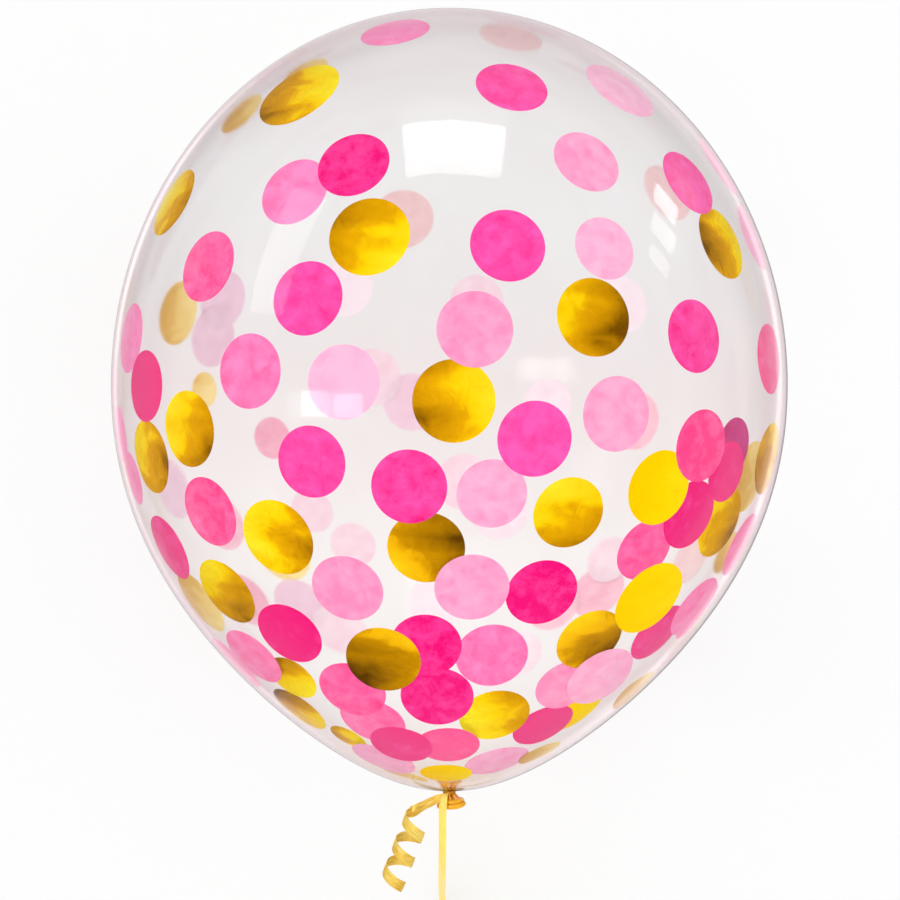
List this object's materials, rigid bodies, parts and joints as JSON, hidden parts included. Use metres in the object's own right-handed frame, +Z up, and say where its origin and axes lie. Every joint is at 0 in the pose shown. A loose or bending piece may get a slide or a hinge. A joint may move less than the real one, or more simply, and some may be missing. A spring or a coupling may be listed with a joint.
{
  "type": "confetti balloon",
  "caption": "Clear blown-up party balloon with pink and gold round confetti sealed inside, its neck tied with a long and a curled end of gold ribbon, lying on its side.",
  "frame": {"origin": "centre of the small flat spot that the lying balloon rests on, under its widest ring", "axes": "+Z up from the floor, +Y along the balloon's axis from its neck to its crown, +X to the right when the balloon is seen from above with its crown away"},
  "size_m": [0.305, 0.5165, 0.303],
  "materials": {
    "clear_latex": "clear, high gloss",
    "amber_neck": "glossy, thick latex at the neck",
    "gold_ribbon": "metallic satin",
    "pale_gold_ribbon": "metallic satin, paler",
    "hot_pink_tissue": "thin tissue paper",
    "mid_pink_tissue": "thin tissue paper",
    "light_pink_tissue": "thin tissue paper",
    "gold_foil": "crinkled metallic foil"
  },
  "bodies": {
    "root": {"balloon": "clear_latex", "ribbon_knot": "gold_ribbon", "ribbon_curl": "gold_ribbon", "ribbon_tail": "pale_gold_ribbon", "ribbon_coil": "pale_gold_ribbon", "coil_tie": "gold_ribbon"}
  },
  "joints": []
}
